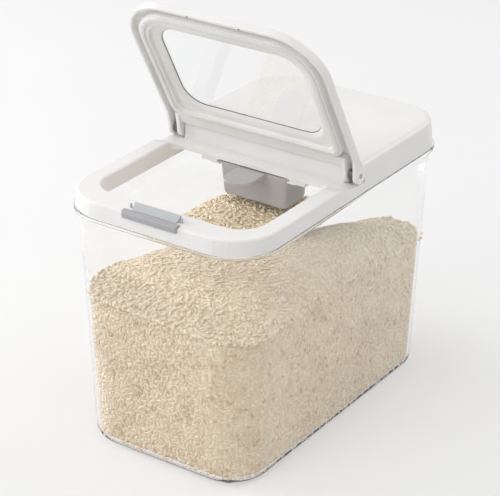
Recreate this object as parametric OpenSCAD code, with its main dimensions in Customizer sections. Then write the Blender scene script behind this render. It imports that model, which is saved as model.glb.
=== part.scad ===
// Rice bin with a flip lid, a clip-on scoop and a push latch.
// The origin is the bottom centre. The front, with the latch, faces -Y.
// Lengths are in millimetres. The lid is drawn open, as it rests.

/* [Bin] */
// Width of the rim lip, left to right
lip_w = 201; // [180:1:240]
// Depth of the rim lip, front to back
lip_d = 326; // [310:1:380]
// Corner radius of the rim lip
lip_r = 44; // [40:1:50]
// Thickness of the rim lip
lip_t = 3; // [2:0.5:5]
// How far the lip stands out from the wall
lip_out = 4; // [3:0.5:6]
// Height of the bin at the top of its lip
bin_h = 225; // [200:1:260]
// Width of the wall at the floor
foot_w = 175.6; // [160:0.2:178]
// Depth of the wall at the floor
foot_d = 304.8; // [290:0.2:308]
// Corner radius of the wall at the floor
foot_r = 37.7; // [34:0.1:40]
// Thickness of the clear wall
wall = 2.6; // [2:0.1:4]
// Thickness of the clear base
base_t = 3; // [2:0.5:5]
// Rounding where the wall meets the base
edge_r = 9; // [5:0.5:12]
// Diameter of a foot pad
pad_d = 18; // [12:1:24]
// How far a foot pad stands out below the base
pad_h = 1.2; // [0.8:0.1:3]

/* [Rice] */
// Depth of the rice's edge below the top of the bin
rice_below = 81; // [76:1:145]
// Rise of the heap in the middle
rice_rise = 46; // [10:1:48]
// Drop of the rice's edge from the left to the right
rice_tilt = 6; // [0:0.5:10]
// Drop of the rice's edge at the back
rice_back_drop = 11; // [0:1:16]
// Further drop of the rice's edge in the left back corner
rice_corner_drop = 12; // [0:1:16]

/* [Cover] */
// Height of the front rim above the lip
rim_h = 14.5; // [13:0.5:16]
// Height of the raised rear above the lip
raised_h = 25; // [24:0.5:32]
// Height of the shelf in front of the raised rear, above the lip
ledge_h = 9; // [8:0.5:10]
// Thickness of the cover's skirt at its foot
skirt_t = 3.6; // [3:0.1:4.5]
// Thickness of the cover's other walls
shell = 2.5; // [2:0.1:3]
// Distance of the raised step behind the middle
step_y = 3.9; // [0:0.1:12]
// Depth of the shelf in front of the step
ledge_d = 15.9; // [13:0.1:18]
// Width of the cover's rim beside the mouth
mouth_side = 18.5; // [17.5:0.5:26]
// Distance of the mouth's front edge from the rim lip
mouth_in = 27.3; // [26:0.1:32]
// Corner radius of the mouth
mouth_r = 25; // [18:1:30]
// Depth of the collar inside the bin
collar_h = 2.6; // [2:0.1:4]

/* [Lid] */
// Opening angle of the lid
lid_open = 61.5; // [40:0.5:62]
// Distance of the lid's front edge from the rim lip
lid_in = 8.75; // [8:0.25:10]
// Depth of the lid's skirt
lid_skirt = 8.3; // [7.5:0.1:8.5]
// Thickness of the lid's skirt
lid_wall = 2.7; // [2:0.1:3.5]
// Thickness of the lid's plate
lid_plate = 2.6; // [2:0.1:3]
// Width of the groove between skirt and seal ring
groove = 7.3; // [6:0.1:9]
// Width of the seal ring
ring_w = 8.5; // [7:0.1:10]
// Distance from the seal ring to the window
frame_w = 9; // [7:0.5:14]
// Corner radius of the window
window_r = 20; // [12:1:26]
// Thickness of the window pane
pane_t = 2; // [1.5:0.1:2]

/* [Hinge] */
// Radius of a hinge ear
ear_r = 7.5; // [6.5:0.1:8]
// Radius of the hinge pin
pin_r = 1.6; // [1.2:0.1:2]
// Running clearance round the pin
pin_gap = 0.05; // [0.03:0.01:0.1]
// Thickness of the inner ear
ear_in = 3.8; // [3:0.1:4.5]
// Thickness of the outer ear
ear_out = 4; // [3:0.1:5]
// Width of the room for the spring between the ears
spring_room = 6.5; // [6.2:0.1:8]
// Wire thickness of the hinge spring
wire = 0.8; // [0.6:0.1:1]
// Turns of the hinge spring
turns = 2.75; // [1.75:1:2.75]

/* [Latch] */
// Width of the push button
button_w = 56.5; // [48:0.5:70]
// Travel of the push button
press = 1.6; // [1:0.1:1.6]
// Width of the catch bar at its back
bar_w = 47; // [36:1:48]
// Distance between the two catch teeth
teeth_apart = 52; // [50:1:56]
// Wire thickness of a latch spring
latch_wire = 0.5; // [0.4:0.1:0.6]
// Turns of a latch spring
latch_turns = 6; // [4:1:6]

/* [Scoop] */
// Width of the scoop's rim
scoop_w = 70.5; // [60:0.5:72]
// Length of the scoop's cup
scoop_l = 58; // [54:1:85]
// Depth of the scoop's cup
scoop_h = 31.5; // [24:0.5:32]
// Wall of the scoop
scoop_wall = 1.8; // [1.4:0.1:2.5]
// Length of the scoop's handle
handle_l = 32; // [28:1:45]
// Width of the scoop's handle
handle_w = 28; // [22:1:32]
// Thickness of the scoop's handle
handle_t = 2.5; // [2:0.1:3]

/* [Fits] */
// Gap between parts that move past each other
gap = 0.3; // [0.3:0.05:0.5]
// Gap round a part that is set into another
seat = 0.05; // [0.03:0.01:0.1]

/* [Hidden] */
$fn = 36;
steps = 10;
sides = [-1, 1];
far = 400;
rim_z = bin_h + rim_h;
roof_z = bin_h + raised_h;
ledge_z = bin_h + ledge_h;

// Bin wall
lip_x = lip_w / 2;
lip_y = lip_d / 2;
wall_r = lip_r - lip_out;
base_z = pad_h;
inner_z = base_z + base_t + edge_r * 0.75;
pad_side_in = 27;
pad_end_in = 19;
pad_x = foot_w / 2 - pad_side_in;
pad_y = foot_d / 2 - pad_end_in;
pad_sink = 0.8;

// Rice: reach of the heap, and powers that set how it falls off to the side, front and back
rice_h = bin_h - rice_below;
rice_x = lip_x - 7.5;
rice_y = lip_y - 6;
rice_gap = 0.4;
rice_bow = 0.3;
side_points = [3, 7];
side_power = [3.7, 1.5];
front_power = [2.4, 3.2];
back_power = [2.4, 2.1];
heap_rings = [0.985, 0.95, 0.9, 0.84, 0.77, 0.69, 0.6, 0.5, 0.38, 0.24];

// Cover skirt, collar and gasket
skirt_in = 1.5;
crease_z = bin_h + 12.7;
crease_in = 2.5;
shoulder_z = roof_z - 3.4;
shoulder_in = 3.8;
skirt_back = skirt_in + skirt_t;
collar_in = lip_out + wall + 0.5;
collar_t = 2.2;
flange_z = bin_h + 2.6;
flange_t = 2.2;
top_t = 2.2;
ramp_y = -28;
ledge_y = step_y - ledge_d;
ledge_t = 3;
mouth_x = lip_x - mouth_side;
mouth_y = mouth_in - lip_y;
mouth_t = 2.2;
mouth_foot = bin_h - 1;
rear_r = 12;
ramp = [[0, 0], [4, 0.11], [8, 0.38], [12, 0.73], [15, 0.94], [17, 1]];

// Hinge axis
hinge_y = step_y + 2.4;
hinge_z = roof_z - ear_r;
lid_x = lip_x - 1;
ear_out_x = lid_x - ear_out;
ear_in_x = ear_out_x - spring_room - ear_in;
notch_x = ear_in_x - 0.7;
notch_y = hinge_y + ear_r + 1.5;
notch_r = 3;
pin_in = notch_x - 9;
bore_r = 2.35;
bore_d = 2.4;
pin_end = lid_x - bore_d;
boss_r = 4.6;

// Lid
lid_y = lid_in - lip_y;
lid_r = lip_r + 0.9;
lid_back = hinge_y - 4.8;
lid_sweep = norm([lid_back - hinge_y, roof_z - hinge_z]);
lid_foot = roof_z - lid_skirt;
plate_z = roof_z - lid_plate;
ring_x = lid_x - lid_wall - groove;
ring_y = lid_y + lid_wall + 6.35;
ring_back = hinge_y - 20;
ring_r = lid_r - lid_wall - groove;
ring_front_w = ring_w + 3;
ring_rear_w = ring_w - 1.5;
ring_rear_r = 13;
ring_z = rim_z + 1.9;
seal_z = rim_z + gap;
frame_z = plate_z - 2.8;
window_x = ring_x - ring_w - frame_w;
window_y = ring_y + ring_front_w + frame_w;
window_back = ring_back - ring_rear_w - frame_w;
window_lip = 2.7;
pane_z = roof_z - 0.1 - pane_t;
pane_seat = pane_z - 0.4;
slope = 4.6;

// Latch
button_x = button_w / 2;
button_y = -lip_y + 0.7;
button_t = 2.8;
button_lean = 1.9;
button_head = 6.3;
button_cut = 1.6;
slider_in = 6.8;
button_notch = button_y + button_t + press + gap;
button_foot = bin_h + 9.9;
slider_top = rim_z - top_t - 0.4;
slider_foot = slider_top - 4.9;
slider_x = button_x - 2.5;
slider_back = button_y + 15.3;
over = rim_z + gap;
bar_y = button_y + button_head + 1;
bar_d = 7.4;
bar_back = bar_y + bar_d;
tooth = 0.8;
stem_x = bar_w / 2 - 3.5;
slider_mid = (slider_foot + slider_top) / 2;
stem_y = [bar_y + 1, bar_y + 6.5];
house_t = 1.8;
house_wing = 8.5;
house_x = slider_x + gap + house_t;
house_front = button_y + 9;
house_back = slider_back + 4.7;
house_ear = rim_z - 5.9;
latch_x = 14;
latch_coil = 1.2;
latch_screw_r = 1.25;
pocket_r = latch_coil + latch_wire / 2 + gap;
pocket_d = 5.5;

// Scoop and its rails
scoop_x = scoop_w / 2;
scoop_y = ledge_y + 1;
rail_lip_t = 1.6;
scoop_z = ledge_z - ledge_t - 1.5;
scoop_foot = scoop_z - scoop_h;
scoop_lean = 2.25;
scoop_lip = 2.2;
scoop_lip_t = 1.6;
scoop_front_r = 3.5;
rail_top = ledge_z - ledge_t;
rail_x = scoop_x + 0.45;
rail_web = scoop_x + scoop_lip + gap + 0.25;
rail_web_t = 6;
rail_l = scoop_l - 10;
rail_foot = scoop_z - scoop_lip_t - gap - rail_lip_t;
tab_in = 2.75;
tab_w = 16.4;
tab_d = 6;
tab_t = 4.2;
tab_x = scoop_x + tab_in;
tab_end = tab_x + tab_w;
screw_r = 1.5;
head_r = 3;
head_t = 1.9;
ear_t = 2.4;
ear_half = 6;
roof_skin = 1.4;
boss_z = roof_z - shell - 3;
screw_x = rail_web + rail_web_t + head_r + 2;
screw_y = [step_y + shell + head_r + 2, scoop_y + rail_l - ear_half - 1];

// Points of a quarter circle
function corner(x, y, r, a) =
    [for (i = [0:steps]) [x + r * cos(a + 90 * i / steps), y + r * sin(a + 90 * i / steps)]];

// A rectangle from y0 to y1 with its front and back corners rounded
function outline(x, y0, y1, front_r, back_r) = concat(
    corner(x - back_r, y1 - back_r, back_r, 0),
    corner(back_r - x, y1 - back_r, back_r, 90),
    corner(front_r - x, y0 + front_r, front_r, 180),
    corner(x - front_r, y0 + front_r, front_r, 270));

// The lip's outline, moved in
function rim(inset) =
    outline(lip_x - inset, inset - lip_y, lip_y - inset, lip_r - inset, lip_r - inset);

// Share of the way from the floor to the lip
function up(z) = z / bin_h;

// The bin's wall at one height, moved in
function bin_wall(z, inset) = let (
    x = foot_w / 2 + (lip_x - lip_out - foot_w / 2) * up(z) - inset,
    y = foot_d / 2 + (lip_y - lip_out - foot_d / 2) * up(z) - inset,
    r = foot_r + (wall_r - foot_r) * up(z) - inset)
    outline(x, -y, y, max(r, 4), max(r, 4));

// The raised rear at one height
function raised(inset, front, front_r) = outline(lip_x - inset, step_y + front,
    lip_y - inset, front_r, lip_r - inset);

// A solid through rings of as many points each
module skin(rings) {
    n = len(rings[0]);
    last = n * (len(rings) - 1);
    points = [for (r = rings) for (p = r) p];
    walls = [for (k = [0:len(rings) - 2]) for (i = [0:n - 1])
        let (a = k * n + i, b = k * n + (i + 1) % n) each [[a, a + n, b + n], [a, b + n, b]]];
    foot_face = [for (i = [0:n - 1]) i];
    head_face = [for (i = [n - 1:-1:0]) last + i];
    polyhedron(points, concat([foot_face], walls, [head_face]), convexity = 6);
}

// A solid through stacked outlines, each with its height
module loft(sections) {
    skin([for (s = sections) [for (p = s[0]) [p[0], p[1], s[1]]]]);
}

// An upright prism
module prism(points, z0, z1) {
    translate([0, 0, z0]) linear_extrude(z1 - z0) polygon(points);
}

// A profile in y and z, drawn along x
module along(profile, x0, x1) {
    translate([x0, 0, 0]) rotate([90, 0, 90]) linear_extrude(x1 - x0) polygon(profile);
}

// A box given by two corners
module block(low, high) {
    translate(low) cube(high - low);
}

// A cylinder along x
module shaft(x0, x1, y, z, r) {
    translate([x0, y, z]) rotate([0, 90, 0]) cylinder(r = r, h = x1 - x0);
}

// What its children draw, and the same on the left
module both() {
    children();
    mirror([1, 0, 0]) children();
}

// The clear bin: a tapered tub with a lip
module bin_body() {
    color([0.93, 0.95, 0.96, 0.4]) difference() {
        union() {
            loft([
                [bin_wall(base_z, edge_r * 0.9), base_z],
                [bin_wall(base_z, edge_r * 0.42), base_z + edge_r * 0.18],
                [bin_wall(base_z, edge_r * 0.12), base_z + edge_r * 0.5],
                [bin_wall(base_z + edge_r, 0), base_z + edge_r],
                [bin_wall(bin_h, 0), bin_h]]);
            prism(rim(0), bin_h - lip_t, bin_h);
        }
        loft([
            [bin_wall(base_z, wall + edge_r * 0.75), base_z + base_t],
            [bin_wall(base_z, wall + edge_r * 0.3), base_z + base_t + edge_r * 0.2],
            [bin_wall(inner_z, wall), inner_z],
            [bin_wall(bin_h, wall), bin_h],
            [bin_wall(bin_h, wall), bin_h + 1]]);
        pad_places() cylinder(d = pad_d + 2 * seat, h = base_z + pad_sink);
    }
}

// The four places of the foot pads
module pad_places() {
    for (x = sides, y = sides)
        translate([x * pad_x, y * pad_y, 0]) children();
}

// Soft pads under the corners
module foot_pads() {
    color([0.35, 0.35, 0.36]) pad_places() cylinder(d = pad_d, h = base_z + pad_sink);
}

// Share of the heap's rise left at a share of its reach
function fall(share, power) = pow(1 - pow(min(abs(share), 1), power[0]), power[1]);

// Height of the rice's top, without the heap
function rice_edge(x, y) = rice_h - rice_tilt / 2 * x / rice_x - rice_back_drop * max(y / rice_y, 0)
    - rice_corner_drop * max(-x / rice_x, 0) * max(y / rice_y + 0.3, 0) / 1.3;

// Height of the rice's top
function rice_top(x, y) = rice_edge(x, y)
    + rice_rise * fall(x / rice_x, side_power) * fall(y / rice_y, y < 0 ? front_power : back_power);

// Points spread evenly from one point to another, on a line that bows in a little
function between(p, q, n) = let (side = q - p, inward = [-side[1], side[0]] / norm(side))
    [for (i = [1:n]) let (t = i / (n + 1)) p + t * side + 4 * rice_bow * t * (1 - t) * inward];

// An outline with more points along its straight sides
function with_sides(o) = let (m = steps + 1) [for (c = [0:3]) each concat(
    [for (i = [0:steps]) o[c * m + i]],
    between(o[c * m + steps], o[(c + 1) * m % (4 * m)], side_points[c % 2]))];

// The rice's edge against the wall at one height, moved in
function rice_wall(z, inset) = with_sides(bin_wall(z, wall + rice_gap + inset));

// A ring of points on the rice's top, at a share of the way out to the wall
function rice_ring(share) = [for (p = rice_wall(rice_h, 0) * share) [p[0], p[1], rice_top(p[0], p[1])]];

// The ring where the rice meets the wall
function rice_wall_ring() = let (edge = rice_wall(rice_h, 0))
    [for (i = [0:len(edge) - 1]) let (z = rice_top(edge[i][0], edge[i][1]), p = rice_wall(z, 0)[i])
        [p[0], p[1], z]];

// The rice, which meets the wall all round and is heaped in the middle
module rice_fill() {
    floor_z = base_z + base_t + rice_gap;
    foot = [for (e = [[0.75, 0], [0.3, 0.2]])
        [for (p = rice_wall(base_z, edge_r * e[0])) [p[0], p[1], floor_z + edge_r * e[1]]]];
    ankle = [for (p = rice_wall(inner_z, 0)) [p[0], p[1], inner_z + rice_gap]];
    peak = rice_top(0, 0);
    color([0.88, 0.82, 0.7]) skin(concat(foot, [ankle, rice_wall_ring()],
        [for (k = heap_rings) rice_ring(k)],
        [[for (p = with_sides(outline(7, -11, 11, 4, 4))) [p[0], p[1], peak]]]));
}

// The cover's outside: a low front rim and a raised rear
module cover_outside() {
    loft([
        [rim(skirt_in), bin_h],
        [rim(crease_in), crease_z],
        [rim(crease_in + 0.5), crease_z + 1.1],
        [rim(crease_in + 1.7), rim_z]]);
    loft([
        [raised(skirt_in, 0, 2), bin_h],
        [raised(crease_in, 0, 2), crease_z],
        [raised(shoulder_in, 0, 2), shoulder_z],
        [raised(shoulder_in + 0.8, 0.1, 2), roof_z - 1.8],
        [raised(shoulder_in + 2.4, 0.6, 2), roof_z - 0.7],
        [raised(shoulder_in + 4.4, 1.3, 2), roof_z - 0.15],
        [raised(shoulder_in + 6.2, 2, 2), roof_z]]);
}

// Side view of the slope from one height down to another, behind the rim
function trough(high, low) = [for (p = ramp) [ramp_y + p[0], high - (high - low) * p[1]]];

// Room above the shelf, where the lid's rear bar lies
module trough_room() {
    along(concat(trough(rim_z, ledge_z), [[step_y, ledge_z], [step_y, roof_z + 9], [ramp_y, roof_z + 9]]),
        -lip_x, lip_x);
}

// The hollow inside the rim, under its top and under the shelf
module rim_hollow() {
    intersection() {
        prism(outline(lip_x - skirt_back, skirt_back - lip_y, step_y + 2 * shell,
            lip_r - skirt_back, 1), flange_z + flange_t, roof_z);
        along(concat([[-far, flange_z], [-far, rim_z - top_t]],
            trough(rim_z - top_t, ledge_z - ledge_t),
            [[step_y + shell + 1, ledge_z - ledge_t], [step_y + shell + 1, flange_z]]), -far, far);
    }
}

// The hollow under the raised rear, clear of the two hinge notches
module rear_hollow() {
    difference() {
        loft([
            [raised(skirt_in + 1 + shell, shell, 2), flange_z + flange_t],
            [raised(shoulder_in + shell, shell, 2), shoulder_z - shell],
            [raised(shoulder_in + shell + 3, shell + 0.5, 2), roof_z - shell]]);
        both() block([notch_x - shell, step_y, ledge_z - shell], [far, notch_y + shell, far]);
    }
}

// One hinge notch in the right front corner of the raised rear
module notch() {
    block([notch_x, step_y - 1, ledge_z], [far, notch_y, far]);
    difference() {
        block([notch_x - notch_r, step_y - 1, ledge_z], [notch_x + 1, step_y + notch_r, far]);
        translate([notch_x - notch_r, step_y + notch_r, 0]) cylinder(r = notch_r, h = far);
    }
}

// Places of the four rail screws
module rail_screw_places() {
    for (x = sides, y = screw_y) translate([x * screw_x, y, 0]) children();
}

// Places of the two latch screws
module latch_screw_places() {
    for (x = sides) translate([x * (house_x + 5), slider_back - 3, 0]) children();
}

// The cover's collar, which hangs inside the bin's wall
module collar() {
    difference() {
        prism(rim(collar_in), bin_h - collar_h, flange_z + 0.5);
        prism(rim(collar_in + collar_t), 0, far);
    }
}

// The wall round the mouth, whose sides run on under the shelf and leave the back open for the scoop
module mouth_wall() {
    mouth_end = step_y + shell;
    difference() {
        prism(outline(mouth_x + mouth_t, mouth_y - mouth_t, mouth_end, mouth_r + mouth_t, 1),
            mouth_foot, rim_z - 0.5);
        prism(outline(mouth_x, mouth_y, mouth_end + 2, mouth_r, 1), 0, rail_top);
        trough_room();
    }
}

// The mouth itself, with a rounded front edge
module mouth() {
    prism(outline(mouth_x, mouth_y, ledge_y, mouth_r, rear_r), 0, far);
    loft([for (e = [[0, -1.9], [0.3, -0.9], [0.9, -0.3], [1.9, 0], [1.9, 5]])
        [outline(mouth_x + e[0], mouth_y - e[0], ledge_y + e[0], mouth_r + e[0], rear_r + e[0]),
            rim_z + e[1]]]);
}

// Openings for the push button and for the stem of the catch bar
module latch_slots() {
    block([-button_x - gap, -far, button_foot - gap], [button_x + gap, button_notch, far]);
    block([-stem_x - gap, stem_y[0] - gap, rim_z - top_t - 1],
        [stem_x + gap, stem_y[1] + press + gap, far]);
}

// The white cover with its mouth, shelf, hinge notches and bosses
module top_cover() {
    color([0.93, 0.93, 0.92]) difference() {
        union() {
            difference() {
                cover_outside();
                trough_room();
                prism(rim(collar_in + collar_t), 0, flange_z + flange_t + 0.5);
                prism(rim(skirt_back), 0, flange_z);
                rim_hollow();
                rear_hollow();
                both() notch();
            }
            collar();
            mouth_wall();
            both() intersection() {
                shaft(pin_in - 1, notch_x - 0.5, hinge_y, hinge_z, boss_r);
                block([0, step_y + 0.5, 0], [far, far, far]);
            }
            rail_screw_places() translate([0, 0, boss_z])
                cylinder(r = head_r + 1, h = roof_z - shell / 2 - boss_z);
            latch_screw_places() translate([0, 0, house_ear])
                cylinder(r = head_r, h = rim_z - top_t / 2 - house_ear);
        }
        mouth();
        both() shaft(pin_in, notch_x + 1, hinge_y, hinge_z, pin_r);
        rail_screw_places() translate([0, 0, boss_z - 1])
            cylinder(r = screw_r + seat, h = roof_z - roof_skin - boss_z + 1);
        latch_screw_places() translate([0, 0, house_ear - 1])
            cylinder(r = latch_screw_r + seat, h = rim_z - top_t - house_ear + 1);
        latch_slots();
    }
}

// The soft ring between the cover's skirt and collar, on the lip
module cover_gasket() {
    color([0.85, 0.85, 0.84]) difference() {
        prism(rim(skirt_back + seat), bin_h, flange_z);
        prism(rim(collar_in - seat), 0, far);
    }
}

// The right scoop rail: a channel for the scoop's lip, a tab, and two screw ears with posts to the roof
module rail() {
    difference() {
        union() {
            block([rail_x, scoop_y, rail_foot], [rail_web + rail_web_t, scoop_y + rail_l, rail_top]);
            block([tab_x, scoop_y, rail_top - tab_t], [tab_end, scoop_y + tab_d, rail_top]);
            for (y = screw_y)
                block([rail_web, y - ear_half, rail_top - ear_t],
                    [screw_x + head_r + 2, y + ear_half, rail_top]);
            for (y = screw_y)
                translate([screw_x, y, rail_top - 1]) cylinder(r = head_r + 1, h = boss_z - rail_top + 1);
        }
        block([0, -far, scoop_z - scoop_lip_t - gap], [rail_web, far, scoop_z + gap]);
        for (y = screw_y) translate([screw_x, y, 0]) cylinder(r = screw_r + seat, h = far);
    }
}

module scoop_rail_right() {
    color([0.9, 0.9, 0.89]) rail();
}

module scoop_rail_left() {
    color([0.9, 0.9, 0.89]) mirror([1, 0, 0]) rail();
}

// A round-headed screw driven upwards, its head's seat at the origin
module screw(shank_r, shank, head, height) {
    translate([0, 0, -height]) cylinder(r = head, h = height);
    translate([0, 0, -0.1]) cylinder(r = shank_r, h = shank + 0.1);
}

// The cross in a screw's head, one millimetre deep
module cross_slot(reach, half, height) {
    block([-reach, -half, -height - 1], [reach, half, 1 - height]);
    block([-half, -reach, -height - 1], [half, reach, 1 - height]);
}

// The four screws that hold the scoop rails
module rail_screws() {
    color([0.6, 0.6, 0.6]) rail_screw_places() translate([0, 0, rail_top - ear_t])
        difference() {
            screw(screw_r, roof_z - roof_skin - rail_top + ear_t, head_r, head_t);
            cross_slot(2, 0.4, head_t);
        }
}

// The cup's outline at one height above its foot, moved in
function cup(z, inset) = let (in = inset + scoop_lean * (1 - z / scoop_h))
    outline(scoop_x - in, scoop_y + in, scoop_y + scoop_l - in, scoop_front_r, scoop_x - in - 0.5);

// The scoop: a cup with a round back, a lip and a flat handle
module scoop() {
    color([0.68, 0.68, 0.7]) difference() {
        union() {
            loft([
                [cup(0, 2.2), scoop_foot],
                [cup(1, 0.8), scoop_foot + 0.6],
                [cup(3, 0), scoop_foot + 2.4],
                [cup(scoop_h, 0), scoop_z]]);
            prism(outline(scoop_x + scoop_lip, scoop_y, scoop_y + scoop_l + scoop_lip,
                2, scoop_x + scoop_lip - 0.5), scoop_z - scoop_lip_t, scoop_z);
            prism(outline(handle_w / 2, scoop_y - handle_l, scoop_y + 1, handle_w * 0.42, 0.4),
                scoop_z - handle_t, scoop_z);
            along([[scoop_y + 0.5, scoop_z - 11], [scoop_y + 0.5, scoop_z - 1],
                [scoop_y - 12, scoop_z - 1], [scoop_y - 12, scoop_z - handle_t]], -1, 1);
        }
        loft([
            [cup(0, scoop_wall + 1.6), scoop_foot + 2],
            [cup(1, scoop_wall + 0.5), scoop_foot + 2.6],
            [cup(3, scoop_wall), scoop_foot + 4.2],
            [cup(scoop_h, scoop_wall), scoop_z],
            [cup(scoop_h, scoop_wall), scoop_z + 1]]);
    }
}

// One hinge pin, pressed into the cover and turning in the lid's ears
module pin() {
    color([0.78, 0.78, 0.8]) shaft(pin_in, pin_end, hinge_y, hinge_z, pin_r);
}

module hinge_pin_right() {
    pin();
}

module hinge_pin_left() {
    mirror([1, 0, 0]) pin();
}

// A point on a coil round the x axis, with its outward direction
function on_coil(r, x, a) = [[x, r * cos(a), r * sin(a)], [0, cos(a), sin(a)]];

// One ring of six points round a wire
function wire_ring(path, k, r) = let (
    ahead = path[min(k + 1, len(path) - 1)][0] - path[max(k - 1, 0)][0],
    t = ahead / norm(ahead),
    across = cross(t, path[k][1]),
    s = across / norm(across),
    u = cross(s, t))
    [for (a = [0:60:300]) path[k][0] + r * (cos(a) * u + sin(a) * s)];

// Least clear distance between stretches of a wire that lie beside each other
function self_gap(path, d) = min([for (i = [0:len(path) - 1]) for (j = [i + 5:1:len(path) - 1])
    norm(path[i][0] - path[j][0])]) - d;

// A wire along a path of points and outward directions
module bent_wire(path, d) {
    skin([for (k = [0:len(path) - 1]) wire_ring(path, k, d / 2)]);
}

// The hinge spring: a leg down to the shelf, the turns, and a leg to the outer ear
hinge_coil = pin_r + wire / 2 + 0.6;
hinge_pitch = wire + 0.5;
hinge_run = hinge_pitch * turns;
hinge_leg = hinge_z - ledge_z - seat;
hinge_turned = 360 * turns + wire / hinge_coil * 180 / PI;
hinge_path = concat(
    [for (z = [hinge_leg, hinge_leg - 1.2 * wire, wire]) [[0, hinge_coil, -z], [0, 1, 0]]],
    [for (k = [0:8 * turns]) on_coil(hinge_coil, hinge_pitch * k / 8, 45 * k)],
    [for (a = [30, 60, 90]) on_coil(hinge_coil, hinge_run + wire * (1 - cos(a)),
        360 * turns + wire * sin(a) / hinge_coil * 180 / PI)],
    [on_coil(hinge_coil, hinge_run + 2.1 * wire, hinge_turned)]);
hinge_spring_x = ear_out_x - gap - 2.1 * wire - hinge_run;
echo(hinge_spring_self_gap = self_gap(hinge_path, wire));

module torsion_spring() {
    color([0.75, 0.75, 0.76]) translate([hinge_spring_x, hinge_y, hinge_z])
        bent_wire(hinge_path, wire);
}

module torsion_spring_right() {
    torsion_spring();
}

module torsion_spring_left() {
    mirror([1, 0, 0]) torsion_spring();
}

// The latch spring: a push spring with a short leg along its axis at each end
latch_span = house_back - slider_back + pocket_d - 2 * seat;
latch_bend = 1.2 * latch_wire;
latch_run = latch_span - 2 * (latch_bend + 1.1 * latch_wire);
latch_turned = latch_bend / latch_coil * 180 / PI;
latch_path = concat(
    [on_coil(latch_coil, 0, -latch_turned)],
    [for (a = [0, 30, 60]) on_coil(latch_coil, 1.1 * latch_wire + latch_bend * sin(a),
        -latch_turned * cos(a))],
    [for (k = [0:8 * latch_turns]) on_coil(latch_coil,
        1.1 * latch_wire + latch_bend + latch_run * k / (8 * latch_turns), 45 * k)],
    [for (a = [30, 60, 90]) on_coil(latch_coil,
        latch_span - 1.1 * latch_wire - latch_bend * cos(a), latch_turned * sin(a))],
    [on_coil(latch_coil, latch_span, latch_turned)]);
echo(latch_spring_self_gap = self_gap(latch_path, latch_wire));

// The two springs that push the button back out
module latch_springs() {
    color([0.7, 0.7, 0.72]) for (x = sides)
        translate([x * latch_x, slider_back - pocket_d + seat, slider_mid])
            rotate([0, 0, 90]) bent_wire(latch_path, latch_wire);
}

// Turns a piece of the closed lid to where the lid rests
module open_lid() {
    translate([0, hinge_y, hinge_z]) rotate([-lid_open, 0, 0])
        translate([0, -hinge_y, -hinge_z]) children();
}

// Outline of the closed lid, moved in
function lid_outline(inset) =
    outline(lid_x - inset, lid_y + inset, lid_back, lid_r - inset, 1);

// Outline of the seal ring's outer edge, moved in
function ring_outline(inset) = outline(ring_x - inset, ring_y + inset, ring_back - inset,
    ring_r - inset, ring_rear_r - inset);

// Outline of the window, moved out
function window_outline(out) = outline(window_x + out, window_y - out, window_back + out,
    window_r + out, window_r + out);

// Inner edge of the seal ring
function ring_inside(out) = outline(ring_x - ring_w + out, ring_y + ring_front_w - out,
    ring_back - ring_rear_w + out, ring_r - ring_w + out, ring_rear_r - 5 + out);

// One ear with its arm
module ear(x0, x1) {
    shaft(x0, x1, hinge_y, hinge_z, ear_r);
    along([[ring_back, lid_foot], [hinge_y - 0.62 * ear_r, hinge_z - 0.78 * ear_r],
        [hinge_y, hinge_z], [hinge_y, hinge_z + ear_r - 0.1], [lid_back, plate_z + 0.8],
        [ring_back, plate_z + 0.8]], x0, x1);
}

// The lid's frame: skirt, plate, seal ring seat, rear bar and four ears
module flip_lid_frame() {
    color([0.93, 0.93, 0.92]) open_lid() difference() {
        union() {
            difference() {
                union() {
                    difference() {
                        loft([
                            [lid_outline(0), lid_foot],
                            [lid_outline(0), roof_z - 1.8],
                            [lid_outline(0.5), roof_z - 0.5],
                            [lid_outline(1.7), roof_z]]);
                        prism(outline(lid_x - lid_wall, lid_y + lid_wall, lid_back + 1,
                            lid_r - lid_wall, 1), 0, plate_z);
                    }
                    prism(ring_outline(0), ring_z, plate_z + 0.5);
                    along([[ring_back - 0.5, ring_z + 0.1], [lid_back - 0.5, ring_z + 0.1],
                        [lid_back - 0.5, plate_z + 0.5], [ring_back - 0.5, plate_z + 0.5]],
                        -ear_in_x - 1, ear_in_x + 1);
                }
                prism(ring_inside(0), 0, frame_z);
                shaft(-notch_x - gap, notch_x + gap, hinge_y, hinge_z, lid_sweep);
            }
            both() {
                ear(ear_in_x, ear_in_x + ear_in);
                ear(ear_out_x, lid_x);
            }
        }
        loft([
            [window_outline(slope + 0.1), frame_z - 0.1],
            [window_outline(slope), frame_z],
            [window_outline(0), frame_z + 2.2],
            [window_outline(0), roof_z + 1]]);
        prism(window_outline(window_lip), pane_seat, far);
        difference() {
            prism(ring_outline(3), 0, ring_z + 1.6);
            prism(ring_outline(5), 0, far);
        }
        both() shaft(ear_in_x - 1, lid_x + 1, hinge_y, hinge_z, pin_r + pin_gap);
        both() shaft(pin_end, lid_x + 1, hinge_y, hinge_z, bore_r);
        for (x = sides) translate([x * teeth_apart / 2, lid_y - 1, lid_foot + 1.5])
            rotate([-90, 0, 0]) cylinder(r = 1.2, h = lid_wall + 2);
    }
}

// The clear pane in the lid
module window_pane() {
    color([0.9, 0.93, 0.94, 0.4]) open_lid()
        prism(window_outline(window_lip - seat), pane_z, pane_z + pane_t);
}

// The thin dark seal under the pane's edge
module window_gasket() {
    color([0.4, 0.4, 0.4]) open_lid() difference() {
        prism(window_outline(window_lip - 0.2), pane_seat, pane_z);
        prism(window_outline(-0.4), 0, far);
    }
}

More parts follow.
